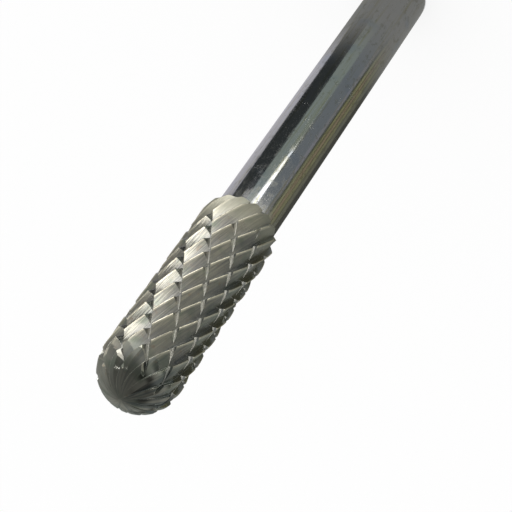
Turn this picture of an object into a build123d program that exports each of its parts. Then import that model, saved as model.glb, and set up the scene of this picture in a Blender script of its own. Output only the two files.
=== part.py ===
"""Carbide burr: a ball-nosed cylinder head with double-cut teeth, brazed to a plain steel shank.

Millimetres. The burr stands on the flat end of its shank: the origin is the centre of that end,
and +Z runs up the axis to the tip of the nose. A travel is a distance along the outline of the
head, from the circle where its side meets the ball: it is negative on the side and positive on
the ball.
"""

import os
from math import acos, asin, cos, degrees, pi, radians, sin

from build123d import *

# Head
cutting_diameter = 7.94
cutting_length = 25.4
shoulder_radius = 0.5          # rounding of the back of the head

# Flutes: the main cut, a right-hand helix of saw-shaped teeth
flute_count = 15
flute_lead = 51.4
flute_depth = 0.55
flute_wall_lean = 0.15         # sideways run of a flute's steep wall for each unit of its depth
crest_land = 0.10              # flat left along each cutting edge
flute_start_angle = -4.8       # the first cutting edge, where the side meets the ball
long_flute_every = 3           # one flute in so many runs on almost to the pole
long_flute_end_radius = 0.45   # distance from the axis where a long flute runs out
short_flute_end_radius = 1.35  # the same for the others
nose_fading = 1.5              # power by which the flutes lose depth over the ball
nose_narrowing = 0.35          # power of that depth by which they lose width

# Corner relief: the back corner of each cutting edge is ground away
relief_length = 1.3            # how far in front of the back it starts
relief_width = 0.95            # how far it reaches along the back edge
relief_depth = 0.75            # at the corner itself
relief_overlap = 0.12          # how far it reaches into the flute

# Chip breakers: the second cut, a left-hand helix of narrower grooves across the teeth
breaker_count = 9
breaker_lead = 55.4
breaker_depth = 0.50
breaker_width = 0.80
breaker_wall_lean = 0.3
breaker_start_angle = 0.0
breaker_run_in = 2.0           # plain stretch of the head behind the start of the grooves
breaker_ramp = 2.0             # length over which they reach their depth
breaker_run_out = 3.2          # how far they run on over the ball
breaker_narrowing = 0.5        # power of their depth by which they lose width

# Cutters
wheel_overrun = 1.0            # how far a flute's cutter starts behind the head
wheel_clearance = 0.15         # how far a cutter stands above the surface that it cuts
flute_slope_overrun = 0.07     # how far a slope goes on past the surface, less than the land
breaker_slope_overrun = 0.12
least_bite = 0.06              # share of its depth that a cutter keeps at its very end
side_stations = 8              # steps of a flute's cutter along the side
nose_stations = 7              # and over the ball
breaker_stations = 13
relief_stations = 3

# Shank and braze
shank_diameter = 6.35
shank_length = 44.5
shank_chamfer = 0.3
braze_thickness = 0.1

head_radius = cutting_diameter / 2
shank_radius = shank_diameter / 2
head_back = shank_length + braze_thickness
tip = head_back + cutting_length
ball_centre = tip - head_radius
flute_pitch = 2 * pi * head_radius / flute_count


def spread(first, last, steps):
    """Evenly spaced values from first to last, both included."""
    return [first + (last - first) * i / steps for i in range(steps + 1)]


def tilt_at(travel):
    """Angle climbed round the ball, in radians: none on the side."""
    return max(travel, 0) / head_radius


def travel_to(radius):
    """Travel over the ball to where it is this far from the axis."""
    return head_radius * acos(radius / head_radius)


def section_plane(travel, angle):
    """Plane across the outline: its X runs round the axis, its Y points out of the surface."""
    tilt = tilt_at(travel)
    out = Vector(cos(radians(angle)), sin(radians(angle)), 0)
    around = Vector(-out.Y, out.X, 0)
    normal = out * cos(tilt) + Vector(0, 0, sin(tilt))
    height = ball_centre + min(travel, 0) + head_radius * sin(tilt)
    origin = out * head_radius * cos(tilt) + Vector(0, 0, height)
    return Plane(origin=origin, x_dir=around, z_dir=around.cross(normal))


def outline_in(plane, corners):
    """Closed outline through corners given in the plane's own X and Y."""
    return Wire.make_polygon([plane.from_local_coords(corner) for corner in corners], close=True)


def groove_section(travel, edge_angle, span, depth, lean, land, overrun):
    """Outline of a cutter's bite: a steep wall at edge_angle, then a slope up across the span."""
    plane = section_plane(travel, edge_angle + span / 2)
    half = asin(cos(tilt_at(travel)) * sin(radians(span / 2)))
    normal = Vector(-sin(half), cos(half))
    along = Vector(cos(half), sin(half))
    far_normal = Vector(sin(half), cos(half))
    far_along = Vector(cos(half), -sin(half))
    edge = (normal - Vector(0, 1)) * head_radius
    far_edge = (far_normal - Vector(0, 1)) * head_radius - far_along * land
    foot = edge - (normal - along * lean) * depth
    slope_end = far_edge + (far_edge - foot).normalized() * overrun
    return outline_in(plane, [
        edge + (normal - along * lean) * wheel_clearance,
        foot,
        slope_end,
        slope_end + far_normal * wheel_clearance,
        Vector(0, 2 * wheel_clearance),
    ])


def flute_cutter(end_radius):
    """One flute, from behind the head to where it thins out on the ball."""
    start = head_back - wheel_overrun - ball_centre
    end = travel_to(end_radius)
    sections = []
    for travel in spread(start, 0, side_stations)[:-1] + spread(0, end, nose_stations):
        shrink = cos(tilt_at(travel))
        bite = max(least_bite, (1 - max(travel, 0) / end) ** nose_fading)
        width = (flute_pitch - crest_land) * shrink * bite**nose_narrowing
        sections.append(groove_section(
            travel,
            flute_start_angle + 360 * travel / flute_lead,
            360 / flute_count,
            flute_depth * bite,
            flute_wall_lean,
            flute_pitch * shrink - width,
            flute_slope_overrun * shrink,
        ))
    return Solid.make_loft(sections)


def breaker_cutter():
    """One chip-breaker groove, from where it starts to where it fades on the ball."""
    start = head_back + breaker_run_in - ball_centre
    sections = []
    for travel in spread(start, breaker_run_out, breaker_stations):
        run_in = min(1, (travel - start) / breaker_ramp)
        run_out = 1 - (max(travel, 0) / breaker_run_out) ** 2
        bite = max(least_bite, run_in * run_out)
        width = breaker_width * bite**breaker_narrowing
        sections.append(groove_section(
            travel,
            breaker_start_angle - 360 * travel / breaker_lead,
            degrees(width / (head_radius * cos(tilt_at(travel)))),
            breaker_depth * bite,
            breaker_wall_lean,
            0,
            breaker_slope_overrun,
        ))
    return Solid.make_loft(sections)


def relief_cutter():
    """The relief of one corner: deepest at the cutting edge, it rises away from the edge and forwards."""
    back = head_back - ball_centre
    sections = []
    for travel in spread(back - wheel_overrun, back + relief_length, relief_stations):
        plane = section_plane(travel, flute_start_angle + 360 * travel / flute_lead)
        share = max(least_bite, (back + relief_length - travel) / relief_length)
        sections.append(outline_in(plane, [
            Vector(relief_overlap, wheel_clearance),
            Vector(relief_overlap, -relief_depth * share),
            Vector(-relief_width * share, 0),
            Vector(-relief_width * share, wheel_clearance),
        ]))
    return Solid.make_loft(sections)


def head_blank():
    """The ground blank: a cylinder with a ball nose and a rounded back."""
    side_start = (head_radius, head_back + shoulder_radius)
    back_edge = (head_radius - shoulder_radius, head_back)
    with BuildPart() as blank:
        with BuildSketch(Plane.XZ):
            with BuildLine():
                Line((0, head_back), back_edge)
                RadiusArc(back_edge, side_start, -shoulder_radius)
                Line(side_start, (head_radius, ball_centre))
                RadiusArc((head_radius, ball_centre), (0, tip), -head_radius)
                Line((0, tip), (0, head_back))
            make_face()
        revolve(axis=Axis.Z)
    return blank.part


def carbide_head():
    """The blank with its flutes and their relief, then the chip breakers cut across them."""
    long_flute = flute_cutter(long_flute_end_radius)
    short_flute = flute_cutter(short_flute_end_radius)
    flutes = []
    for i in range(flute_count):
        cutter = short_flute if i % long_flute_every else long_flute
        flutes.append(cutter.rotate(Axis.Z, 360 * i / flute_count))
    relief = relief_cutter()
    reliefs = [relief.rotate(Axis.Z, 360 * i / flute_count) for i in range(flute_count)]
    breaker = breaker_cutter()
    breakers = [breaker.rotate(Axis.Z, 360 * i / breaker_count) for i in range(breaker_count)]
    return head_blank().cut(*flutes).cut(*reliefs).cut(*breakers)


def rod(radius, length):
    """A plain round bar that stands on the origin."""
    return Cylinder(radius, length, align=(Align.CENTER, Align.CENTER, Align.MIN))


def shank():
    """A ground rod, chamfered at the end that goes into the collet."""
    bar = rod(shank_radius, shank_length)
    return chamfer(bar.edges().sort_by(Axis.Z)[0], shank_chamfer)


def braze_joint():
    """The thin disc of silver solder between the shank and the head, ground flush with the shank."""
    return Pos(0, 0, shank_length) * rod(shank_radius, braze_thickness)


os.makedirs("parts", exist_ok=True)
export_step(carbide_head(), "parts/carbide_head.step")
export_step(shank(), "parts/shank.step")
export_step(braze_joint(), "parts/braze_joint.step")
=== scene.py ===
"""Carbide burr: its finishes, a white studio and the camera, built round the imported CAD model.

Lengths are in millimetres, and are turned into metres where Blender takes them. The burr stands on
its shank, with +Z up the axis to the nose. Azimuths are in degrees round the axis, from +X.
Colours are linear.
"""
import math

import bpy
from mathutils import Euler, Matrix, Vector


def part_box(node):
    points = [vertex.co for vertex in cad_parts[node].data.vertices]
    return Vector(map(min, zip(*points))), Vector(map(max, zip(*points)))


MM = 0.001
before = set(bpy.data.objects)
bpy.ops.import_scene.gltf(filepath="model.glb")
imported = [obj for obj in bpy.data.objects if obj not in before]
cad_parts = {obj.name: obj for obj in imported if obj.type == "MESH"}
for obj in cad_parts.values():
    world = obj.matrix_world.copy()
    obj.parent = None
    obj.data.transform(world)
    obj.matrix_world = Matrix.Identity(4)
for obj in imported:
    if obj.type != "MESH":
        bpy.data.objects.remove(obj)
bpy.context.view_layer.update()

# The burr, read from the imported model
head_low, head_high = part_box("carbide_head")
head_radius = (head_high.x - head_low.x) / 2 / MM
back_end = head_low.z / MM
ball_centre = head_high.z / MM - head_radius


class Graph:
    """Short calls for a node tree. A socket is given a number, a tuple or another socket."""

    def __init__(self, tree):
        self.tree = tree
        tree.nodes.clear()

    def put(self, socket, value):
        if isinstance(value, bpy.types.NodeSocket):
            self.tree.links.new(value, socket)
        elif isinstance(value, tuple) and len(value) == 3 and socket.type == "RGBA":
            socket.default_value = (*value, 1.0)
        else:
            socket.default_value = value

    def add(self, kind, inputs=None, **settings):
        node = self.tree.nodes.new(kind)
        for name, value in settings.items():
            setattr(node, name, value)
        for name, value in (inputs or {}).items():
            self.put(node.inputs[name], value)
        return node

    def math(self, operation, first, second):
        node = self.add("ShaderNodeMath", {0: first, 1: second}, operation=operation)
        return node.outputs[0]

    def total(self, first, *others):
        for value in others:
            first = self.math("ADD", first, value)
        return first

    def product(self, first, *others):
        for value in others:
            first = self.math("MULTIPLY", first, value)
        return first

    def vector(self, operation, first, second=(0.0, 0.0, 0.0)):
        node = self.add("ShaderNodeVectorMath", {0: first, 1: second}, operation=operation)
        return node.outputs["Value" if operation in ("LENGTH", "DOT_PRODUCT") else "Vector"]

    def joined(self, x, y, z):
        return self.add("ShaderNodeCombineXYZ", {"X": x, "Y": y, "Z": z}).outputs[0]

    def split(self, vector):
        node = self.add("ShaderNodeSeparateXYZ", {"Vector": vector})
        return node.outputs["X"], node.outputs["Y"], node.outputs["Z"]

    def ramp(self, value, low, high, to_low=0.0, to_high=1.0):
        """Smooth step from to_low at low to to_high at high."""
        node = self.add("ShaderNodeMapRange", {
            "Value": value, "From Min": low, "From Max": high, "To Min": to_low, "To Max": to_high,
        }, interpolation_type="SMOOTHSTEP")
        return node.outputs["Result"]

    def mix(self, amount, first, second):
        """Colour between first and second."""
        node = self.add("ShaderNodeMix", data_type="RGBA")
        # its sockets for each kind of data have the same names, so the colour's go by number
        for index, value in ((0, amount), (6, first), (7, second)):
            self.put(node.inputs[index], value)
        return node.outputs[2]

    def layered(self, colour, layers):
        """colour with layers over it, each given as its amount and its colour."""
        for amount, layer in layers:
            colour = self.mix(amount, colour, layer)
        return colour

    def noise(self, place, scales, detail, roughness=0.55):
        """Noise of one scale, or of three, which draw it out where they are small."""
        if isinstance(scales, tuple):
            place, scales = self.vector("MULTIPLY", place, scales), 1.0
        node = self.add("ShaderNodeTexNoise", {
            "Vector": place, "Scale": scales, "Detail": detail, "Roughness": roughness,
        })
        return node.outputs["Fac"]

    def place(self):
        """The point on the surface, in millimetres of the shared frame."""
        place = self.add("ShaderNodeTexCoord").outputs["Object"]
        return self.vector("MULTIPLY", place, (1 / MM, 1 / MM, 1 / MM))

    def seen(self):
        """1 for camera, mirrored and transmitted rays, and 0 for the rest."""
        path = self.add("ShaderNodeLightPath").outputs
        seen = self.math("MAXIMUM", path["Is Camera Ray"], path["Is Glossy Ray"])
        return self.math("MAXIMUM", seen, path["Is Transmission Ray"])


def new_material(name):
    material = bpy.data.materials.new(name)
    material.use_nodes = True
    return material, Graph(material.node_tree)


bevel_samples = 6


def finish_metal(graph, colour, roughness, height, bump, rounding, extra=None):
    """Ends a material with a metal shader, its bump and its rounded edges."""
    rounded = graph.add("ShaderNodeBevel", {"Radius": rounding * MM}, samples=bevel_samples)
    bumped = graph.add("ShaderNodeBump", {
        "Strength": 1.0, "Distance": bump * MM, "Height": height, "Normal": rounded.outputs[0],
    })
    shader = graph.add("ShaderNodeBsdfPrincipled", {
        "Base Color": colour,
        "Metallic": 1.0,
        "Roughness": roughness,
        "Normal": bumped.outputs["Normal"],
        **(extra or {}),
    })
    graph.add("ShaderNodeOutputMaterial", {"Surface": shader.outputs[0]})


# ---- Carbide ----
carbide_colour = (0.445, 0.435, 0.385)
# Dark colour of the wheel marks, and also the painted shade in the gullets and on the breaker
# walls
dark_marks_and_shade = (0.22, 0.225, 0.235)
carbide_green = (0.31, 0.34, 0.28)
carbide_brown = (0.39, 0.31, 0.24)
# Painted highlight: the light colour laid on the crests
crest_highlight_colour = (0.74, 0.71, 0.60)
# Painted highlight: the near-white colour of the breaker walls deep down
wall_highlight_colour = (0.97, 0.96, 0.91)
carbide_lobe = (0.62, 0.61, 0.505)
# Painted shade: the colour of the dark rays on the nose
nose_shade = (0.17, 0.20, 0.21)
# Painted shade: the dark, cool colour laid on the flute walls
flute_wall_shade = (0.28, 0.32, 0.34)
tint_scale, tint_range = 0.55, (0.45, 0.70)
patch_scale, patch_range = 1.7, (0.58, 0.80)

# Wheel marks: noise drawn out along a helix, with its scales round and up the head
marks_lead = 82.0              # right-hand, a little steeper than the flutes
broad_scales = (2.2, 2.2, 0.15)
marks_scales = (7.5, 7.5, 0.16)
fine_scales = (16.0, 16.0, 0.5)
broad_share, marks_share, fine_share = 0.20, 0.52, 0.28
marks_range = (0.53, 0.44)     # of the noise, from plain to darkest
marks_height = 0.035
# The dark rays on the nose are painted shade
shade_rays_range = (0.56, 0.40)      # the same for the dark rays on the nose
shade_rays_sides = (1.5, -1.0)       # x between which the rays go from faint to full
shade_rays_faint = 0.3

# Depths under the ground blank, from where each look starts to where it is full
crest_depths = (0.12, 0.03)
side_gullet_depths = (0.20, 0.60)
nose_gullet_depths = (0.04, 0.30)
wall_depths = (0.03, 0.08)
wall_highlight_depths = (0.24, 0.34)
lobe_depths = (0.75, 0.35)

# Heights between which the nose gives way to the side, and the teeth to the lobes at the back
side_heights = (ball_centre + 1.2, ball_centre - 0.6)
lobe_heights = (back_end + 4.2, back_end + 1.6)

# Walls, by how far their normal points round the axis and up it
wall_around = (0.45, 0.70)
breaker_upward = (0.05, 0.25)

# How strongly each look covers the colour under it, and the nose's share of what the side has
marks_cover = 0.55
shade_rays_cover = 0.75
gullet_shade_cover = 0.68
lobe_cover = 0.6
flute_wall_shade_cover = 0.7
breaker_wall_shade_cover = 0.65
nose_gullet_share = 0.55
nose_crest_share = 0.07
nose_height_share = 0.05

# Roughness, and what each look adds to it
carbide_roughness = 0.05
marks_roughness = 0.10
side_roughness = 0.10
wall_roughness = 0.30
lobe_roughness = 0.22
carbide_anisotropy = 0.2
anisotropy_turn = 0.18
carbide_rounding = 0.07        # radius by which the shading rounds the edges


def carbide_material():
    """Ground carbide: wheel marks along the flutes, painted highlight on the crests, painted shade
    in the gullets, a smooth nose.
    """
    material, graph = new_material("ground_carbide")
    place = graph.place()
    x, y, z = graph.split(place)
    over_ball_centre = graph.math("SUBTRACT", z, ball_centre)
    outward = graph.vector("NORMALIZE", graph.joined(x, y, 0.0))

    # Wheel marks: on the nose they run together towards the tip
    untwist = graph.product(over_ball_centre, -2 * math.pi / marks_lead)
    untwisted = graph.add("ShaderNodeVectorRotate", {"Vector": outward, "Angle": untwist},
                          rotation_type="Z_AXIS").outputs["Vector"]
    ring = graph.vector("MULTIPLY", untwisted, (head_radius, head_radius, 0.0))
    drawn = graph.vector("ADD", ring, graph.joined(0.0, 0.0, z))
    broad = graph.noise(drawn, broad_scales, detail=2.0)
    marks = graph.noise(drawn, marks_scales, detail=1.0)
    fine = graph.noise(drawn, fine_scales, detail=1.0)
    grind = graph.total(
        graph.product(marks, marks_share),
        graph.product(fine, fine_share),
        graph.product(broad, broad_share),
    )

    # Depth under the ground blank, a cylinder with a ball end
    from_ball_centre = graph.joined(x, y, graph.math("MAXIMUM", over_ball_centre, 0.0))
    depth = graph.math("SUBTRACT", head_radius, graph.vector("LENGTH", from_ball_centre))
    on_side = graph.ramp(z, *side_heights)
    on_nose = graph.math("SUBTRACT", 1.0, on_side)

    def less_on_nose(value, share):
        return graph.product(value, graph.total(graph.product(on_side, 1 - share), share))

    # Painted highlight: the crests, close under the ground blank, are turned light
    crest_highlight = less_on_nose(graph.ramp(depth, *crest_depths), nose_crest_share)
    # Painted shade: the gullets are darkened the deeper they lie, less so on the nose
    gullet_shade = graph.total(
        graph.product(graph.ramp(depth, *side_gullet_depths), on_side),
        graph.product(graph.ramp(depth, *nose_gullet_depths), on_nose, nose_gullet_share),
    )

    # Walls that face round the axis: the flutes' are level, and the breaker grooves' face up too
    normal = graph.add("ShaderNodeTexCoord").outputs["Normal"]
    around = graph.vector("CROSS_PRODUCT", (0.0, 0.0, 1.0), outward)
    facing = graph.ramp(graph.vector("DOT_PRODUCT", normal, around), *wall_around)
    facing = graph.product(facing, graph.ramp(depth, *wall_depths))
    # Painted shade: the breaker walls are darkened
    breaker_wall = graph.product(facing, graph.ramp(graph.split(normal)[2], *breaker_upward))
    # Painted shade: the flute walls are darkened to a cool colour
    flute_wall = graph.math("SUBTRACT", facing, breaker_wall)
    # Painted highlight: deep down, the breaker walls turn near white
    wall_highlight = graph.product(breaker_wall, graph.ramp(depth, *wall_highlight_depths))

    # The lobes at the back end are lighter and rougher
    lobes = graph.product(graph.ramp(z, *lobe_heights), graph.ramp(depth, *lobe_depths))

    # Painted shade: dark rays run to the tip, most of all on the -X side
    shade_rays = graph.product(graph.ramp(broad, *shade_rays_range), on_nose, shade_rays_cover,
                         graph.ramp(x, *shade_rays_sides, shade_rays_faint, 1.0))

    tint = graph.noise(place, tint_scale, detail=2.0)
    patch = graph.noise(place, patch_scale, detail=3.0)
    colour = graph.layered(carbide_colour, [
        (graph.ramp(tint, *tint_range), carbide_green),
        (graph.ramp(patch, *patch_range), carbide_brown),
        (graph.product(graph.ramp(grind, *marks_range), on_side, marks_cover), dark_marks_and_shade),
        (shade_rays, nose_shade),
        (graph.product(gullet_shade, gullet_shade_cover), dark_marks_and_shade),
        (graph.product(lobes, lobe_cover), carbide_lobe),
        (graph.product(flute_wall, flute_wall_shade_cover), flute_wall_shade),
        (graph.product(breaker_wall, breaker_wall_shade_cover), dark_marks_and_shade),
        (crest_highlight, crest_highlight_colour),
        (wall_highlight, wall_highlight_colour),
    ])
    roughness = graph.total(
        graph.product(grind, marks_roughness),
        carbide_roughness,
        graph.product(on_side, side_roughness),
        graph.product(wall_highlight, wall_roughness),
        graph.product(lobes, lobe_roughness),
    )
    height = less_on_nose(grind, nose_height_share)
    tangent = graph.add("ShaderNodeTangent", direction_type="RADIAL", axis="Z").outputs[0]
    finish_metal(graph, colour, roughness, height, marks_height, carbide_rounding, {
        "Anisotropic": carbide_anisotropy,
        "Anisotropic Rotation": anisotropy_turn,
        "Tangent": tangent,
    })
    return material


# ---- Steel and solder ----
steel_colour = (0.58, 0.585, 0.60)
steel_olive = (0.50, 0.49, 0.40)
steel_blue = (0.50, 0.53, 0.58)
steel_smudge = (0.33, 0.33, 0.27)
streak_scales, streak_range = (3.0, 3.0, 0.06), (0.50, 0.72)
scratch_scales = (22.0, 22.0, 0.35)
cloud_scale, cloud_range = 0.30, (0.52, 0.72)
smudge_scales, smudge_range = (1.9, 1.9, 0.9), (0.52, 0.66)
smudge_dull_range = (0.48, 0.66)
smudge_cover = 0.5
pit_scale, pit_edges = 4.5, (0.26, 0.12)
cluster_scale, cluster_range = 0.42, (0.62, 0.70)
steel_roughness = 0.06
scratch_roughness = 0.10
pit_roughness = 0.25
smudge_roughness = 0.11
scratch_share, streak_share = 0.12, 0.9     # of the depth of a pit
steel_height = 0.010
steel_rounding = 0.05

solder_colour = (0.66, 0.62, 0.52)
grain_scale, grain_range = 6.0, (0.35, 0.70)
solder_roughness, grain_roughness = 0.28, 0.25
solder_height = 0.02
solder_rounding = 0.02


def steel_material():
    """Polished steel: faint lengthwise streaks, smudges and clusters of tiny pits."""
    material, graph = new_material("polished_shank")
    place = graph.place()
    streaks = graph.noise(place, streak_scales, detail=3.0)
    scratches = graph.noise(place, scratch_scales, detail=2.0)
    cloud = graph.noise(place, cloud_scale, detail=2.0)
    smudge = graph.noise(place, smudge_scales, detail=6.0, roughness=0.70)

    cells = graph.add("ShaderNodeTexVoronoi", {"Vector": place, "Scale": pit_scale})
    cluster = graph.ramp(graph.noise(place, cluster_scale, detail=1.0), *cluster_range)
    pits = graph.product(graph.ramp(cells.outputs["Distance"], *pit_edges), cluster)

    colour = graph.layered(steel_colour, [
        (graph.ramp(streaks, *streak_range), steel_olive),
        (graph.ramp(cloud, *cloud_range), steel_blue),
        (graph.product(graph.ramp(smudge, *smudge_range), smudge_cover), steel_smudge),
    ])
    roughness = graph.total(
        graph.product(scratches, scratch_roughness),
        steel_roughness,
        graph.product(pits, pit_roughness),
        graph.ramp(smudge, *smudge_dull_range, 0.0, smudge_roughness),
    )
    height = graph.total(
        graph.math("SUBTRACT", graph.product(scratches, scratch_share), pits),
        graph.product(streaks, streak_share),
    )
    finish_metal(graph, colour, roughness, height, steel_height, steel_rounding)
    return material


def solder_material():
    """Silver solder, dull and slightly uneven, in the joint."""
    material, graph = new_material("braze_silver")
    grains = graph.noise(graph.place(), grain_scale, detail=4.0)
    colour = graph.mix(graph.ramp(grains, *grain_range), solder_colour, carbide_brown)
    roughness = graph.total(graph.product(grains, grain_roughness), solder_roughness)
    finish_metal(graph, colour, roughness, grains, solder_height, solder_rounding)
    return material


def dress(node, material):
    """Gives a CAD node its finish, in the slots that it has."""
    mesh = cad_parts[node].data
    if not mesh.materials:
        mesh.materials.append(material)
    for i in range(len(mesh.materials)):
        mesh.materials[i] = material


def mesh_object(name, corners, faces, material):
    mesh = bpy.data.meshes.new(name)
    mesh.from_pydata([Vector(corner) * MM for corner in corners], [], faces)
    mesh.materials.append(material)
    thing = bpy.data.objects.new(name, mesh)
    bpy.context.scene.collection.objects.link(thing)
    return thing


def round_point(radius, azimuth, height):
    angle = math.radians(azimuth)
    return radius * math.cos(angle), radius * math.sin(angle), height


# ---- Studio ----
white = (1.0, 1.0, 1.0)
floor_half = 1500.0
floor_white = (0.97, 0.97, 0.97)
floor_glow = 0.75              # how much of pure white the camera and the metal see in the floor


def studio_floor():
    """White paper that keeps the shadow, and glows where the camera or the metal sees it."""
    material, graph = new_material("white_paper")
    paper = graph.add("ShaderNodeBsdfDiffuse", {"Color": floor_white})
    glow = graph.add("ShaderNodeEmission", {"Color": white, "Strength": 1.0})
    amount = graph.product(graph.seen(), floor_glow)
    both = graph.add("ShaderNodeMixShader", {0: amount, 1: paper.outputs[0], 2: glow.outputs[0]})
    graph.add("ShaderNodeOutputMaterial", {"Surface": both.outputs[0]})
    s = floor_half
    corners = [(-s, -s, 0), (s, -s, 0), (s, s, 0), (-s, s, 0)]
    mesh_object("floor", corners, [(0, 1, 2, 3)], material)


def studio_world():
    world = bpy.data.worlds.new("studio")
    world.use_nodes = True
    bpy.context.scene.world = world
    graph = Graph(world.node_tree)
    light = graph.add("ShaderNodeBackground", {"Color": white, "Strength": 1.0})
    graph.add("ShaderNodeOutputWorld", {"Surface": light.outputs[0]})


# ---- Cards ----
card_height = 0.2
card_step = 6.0                # most degrees in one face of a card
foot_grey = (0.25, 0.25, 0.235)
foot_radii = (20.0, 9.0)       # between which the cards fade to that grey

# Cards on the floor: name, first and last azimuth, colour and strength. Each ring of cards lies
# between two radii, and each card may have its own instead
shank_ring, inner_ring, outer_ring, rim = 3.3, 48.0, 78.0, 470.0
soft_end = 190.0
SHANK_CARDS = [
    ("lavender_card", 6, 90, (0.55, 0.54, 0.58), 1.0),
    ("black_card", -50, 6, (0.035, 0.04, 0.04), 1.0),
    ("green_card", -90, -50, (0.26, 0.30, 0.27), 1.0),
    ("blue_card", -132, -90, (0.18, 0.20, 0.21), 1.0),
    ("grey_card", -142, -132, (0.26, 0.26, 0.28), 1.0),
    ("olive_card", -150, -142, (0.08, 0.09, 0.06), 1.0),
    ("olive_light", -158, -150, (0.29, 0.28, 0.16), 1.0),
    ("olive_line", -161, -158, (0.06, 0.06, 0.035), 1.0),
    ("brown_card", -170, -161, (0.275, 0.225, 0.145), 1.0),
    ("brown_line", -173, -170, (0.05, 0.05, 0.03), 1.0),
    ("olive_band", -184, -173, (0.235, 0.23, 0.13), 1.0),
    ("edge_line", -188, -184, (0.08, 0.08, 0.06), 1.0),
    ("olive_edge", -206, -188, (0.17, 0.17, 0.125), 1.0),
    ("dark_card", -270, -206, (0.07, 0.07, 0.06), 1.0),
]
# the crests of the head mirror the inner ring
INNER_CARDS = [
    ("inner_grey", -160, -128, (0.50, 0.49, 0.43), 1.0),
    ("inner_strip", -128, -62, (1.0, 0.97, 0.87), 1.35),
    ("inner_end", -62, -30, (1.0, 0.98, 0.93), 2.4, 55.0, outer_ring),
    ("inner_soft", -30, 46, (0.38, 0.38, 0.35), 1.0),
    ("rim_dark", 60, 122, (0.06, 0.06, 0.055), 1.0),
    ("inner_back", 122, 200, (0.24, 0.25, 0.235), 1.0),
]
# and its slopes mirror the outer ring
OUTER_CARDS = [
    ("outer_grey", -148, -100, (0.42, 0.415, 0.365), 1.0),
    ("strip_edge", -100, -80, (1.0, 0.98, 0.93), 0.68),
    ("strip_middle", -80, -64, (1.0, 0.98, 0.93), 1.25),
    ("strip_end", -64, -42, (1.0, 0.98, 0.93), 2.9, outer_ring, 300.0),
    ("strip_far", -64, -42, (0.36, 0.37, 0.34), 1.0, 300.0, rim),
    ("outer_soft", -42, 20, (0.37, 0.365, 0.335), 1.0, outer_ring, soft_end),
    ("outer_back", 20, 46, (0.30, 0.30, 0.28), 1.0, outer_ring, soft_end),
    ("soft_horizon", -42, 46, (0.78, 0.76, 0.70), 1.0, soft_end, rim),
    ("wall_light", 46, 74, (1.0, 0.99, 0.93), 3.0, outer_ring, 116.0),
    ("wall_back", 46, 74, (0.32, 0.32, 0.30), 1.0, 116.0, rim),
    ("outer_dark", 74, 160, (0.26, 0.28, 0.26), 1.0),
    ("outer_side", 160, 212, (0.27, 0.275, 0.255), 1.0),
]

# The narrow card whose mirror image tapers up the shank: radius and azimuth of its corners
wedge_corners = [(34.5, -90.0), (48.0, -90.0), (48.0, -73.0)]
wedge_height = 0.4
wedge_strength = 2.8


def only_reflected(thing):
    """A studio card: the metal mirrors it, but it lights nothing and the camera doesn't see it."""
    thing.visible_camera = False
    thing.visible_diffuse = False
    thing.visible_transmission = False
    thing.visible_volume_scatter = False
    thing.visible_shadow = False


def card_material(name, colour, strength):
    """An even glow, which fades to grey close round the foot of the burr."""
    material, graph = new_material(name)
    flat = graph.vector("MULTIPLY", graph.place(), (1.0, 1.0, 0.0))
    by_foot = graph.ramp(graph.vector("LENGTH", flat), *foot_radii)
    glow = graph.add("ShaderNodeEmission", {
        "Color": graph.mix(by_foot, colour, foot_grey), "Strength": strength,
    })
    graph.add("ShaderNodeOutputMaterial", {"Surface": glow.outputs[0]})
    return material


def floor_card(name, start, end, colour, strength, inner, outer):
    """A card lying round the foot of the burr, between two azimuths and two radii."""
    steps = math.ceil((end - start) / card_step)
    corners = []
    for i in range(steps + 1):
        azimuth = start + (end - start) * i / steps
        corners += [round_point(radius, azimuth, card_height) for radius in (inner, outer)]
    faces = [(2 * i, 2 * i + 1, 2 * i + 3, 2 * i + 2) for i in range(steps)]
    only_reflected(mesh_object(name, corners, faces, card_material(name, colour, strength)))


def card_ring(cards, inner, outer):
    for name, start, end, colour, strength, *radii in cards:
        floor_card(name, start, end, colour, strength, *(radii or (inner, outer)))


def wedge_card():
    corners = [round_point(radius, azimuth, wedge_height) for radius, azimuth in wedge_corners]
    material = card_material("wedge_card", white, wedge_strength)
    only_reflected(mesh_object("wedge_card", corners, [(0, 1, 2)], material))


# ---- Dome ----
dome_radius = 480.0
dome_lift = 1.0                # over the floor
dome_rings, dome_turns = 8, 24
dome_colour = (0.97, 1.0, 0.96)

# Its glow, with places and heights as shares of the radius
dome_low, dome_high = 0.25, 0.115       # near the floor and overhead
glow_heights = (0.3, 0.85)
sideways_range, sideways_gain = (-0.2, 1.0), 1.4
front_places, front_heights = (-0.45, -0.85), (0.6, 0.15)
front_glow = 0.32
patch_size, patches_range = 2.0, (0.36, 0.64)
patches_dim, patches_bright = -0.7, 0.25
patches_places = (0.1, -0.5)


def dome_mesh(radius, rings, turns):
    """Corners and faces of half a sphere that stands just over the floor."""
    corners = []
    for i in range(rings):
        climb = math.radians(90 * i / rings)
        ring_radius, height = radius * math.cos(climb), radius * math.sin(climb) + dome_lift
        corners += [round_point(ring_radius, 360 * j / turns, height) for j in range(turns)]
    corners.append((0, 0, radius + dome_lift))
    top = rings * turns
    faces = []
    for j in range(turns):
        k = (j + 1) % turns
        for low in range(0, top - turns, turns):
            faces.append((low + j, low + k, low + turns + k, low + turns + j))
        faces.append((top - turns + j, top - turns + k, top))
    return corners, faces


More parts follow.
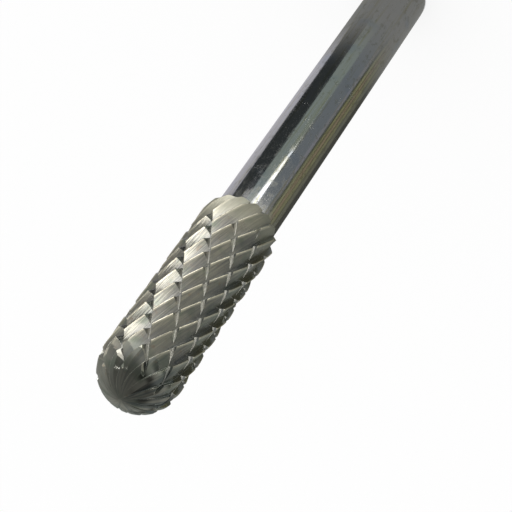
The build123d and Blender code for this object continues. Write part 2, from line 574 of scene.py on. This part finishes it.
def dome():
    """The dim room over the burr: lighter low down, at the front and towards +X +Y.

    On the -X side it is patchy.
    """
    radius = dome_radius
    material, graph = new_material("dim_room")
    outward = graph.vector("MULTIPLY", graph.place(), (1 / radius, 1 / radius, 1 / radius))
    x, y, z = graph.split(outward)
    glow = graph.ramp(z, *glow_heights, dome_low, dome_high)
    glow = graph.product(glow, graph.ramp(graph.total(x, y), *sideways_range, 1.0, sideways_gain))
    front = graph.product(graph.ramp(y, *front_places), graph.ramp(z, *front_heights))
    glow = graph.total(glow, graph.product(front, front_glow))
    noise = graph.noise(outward, patch_size, detail=0.0)
    patches = graph.product(graph.ramp(noise, *patches_range, patches_dim, patches_bright),
                            graph.ramp(x, *patches_places))
    glow = graph.product(glow, graph.total(patches, 1.0))
    light = graph.add("ShaderNodeEmission", {"Color": dome_colour, "Strength": glow})
    graph.add("ShaderNodeOutputMaterial", {"Surface": light.outputs[0]})
    only_reflected(mesh_object("dim_room", *dome_mesh(radius, dome_rings, dome_turns), material))


# ---- Lamp and camera ----
# Lamp: a small disk, whose highlight falls on the nose
lamp_azimuth = -41.0
lamp_elevation = 46.0
lamp_aim = (1.82, -1.84, 69.04)
lamp_distance = 420.0
lamp_size = 4.0
lamp_power = 0.009

# Camera: above the nose and rolled most of the way over
camera_place = (0.0, -117.8, 159.1)
camera_aim = (-2.8, 0.0, 46.8)
camera_roll = 146.25
camera_lens = 119.9
sensor_width = 36.0
camera_clip = (0.001, 20.0)     # metres


def studio_lamp():
    data = bpy.data.lights.new("key", "AREA")
    data.shape = "DISK"
    data.size = lamp_size * MM
    data.energy = lamp_power
    thing = bpy.data.objects.new("key", data)
    bpy.context.scene.collection.objects.link(thing)
    up = math.radians(lamp_elevation)
    away = Vector(round_point(math.cos(up), lamp_azimuth, math.sin(up)))
    thing.location = (Vector(lamp_aim) + away * lamp_distance) * MM
    thing.rotation_euler = away.to_track_quat("Z", "Y").to_euler()


def studio_camera():
    data = bpy.data.cameras.new("camera")
    data.lens = camera_lens
    data.sensor_width = sensor_width
    data.sensor_fit = "HORIZONTAL"
    data.clip_start, data.clip_end = camera_clip
    thing = bpy.data.objects.new("camera", data)
    bpy.context.scene.collection.objects.link(thing)
    forward = Vector(camera_aim) - Vector(camera_place)
    upright = forward.to_track_quat("-Z", "Y")
    roll = Euler((0, 0, -math.radians(camera_roll))).to_quaternion()
    thing.location = Vector(camera_place) * MM
    thing.rotation_euler = (upright @ roll).to_euler()
    bpy.context.scene.camera = thing


dress("carbide_head", carbide_material())
dress("shank", steel_material())
dress("braze_joint", solder_material())

studio_floor()
studio_world()
studio_camera()
studio_lamp()
dome()
card_ring(SHANK_CARDS, shank_ring, inner_ring)
card_ring(INNER_CARDS, inner_ring, outer_ring)
card_ring(OUTER_CARDS, outer_ring, rim)
wedge_card()

bpy.context.scene.view_settings.view_transform = "Standard"
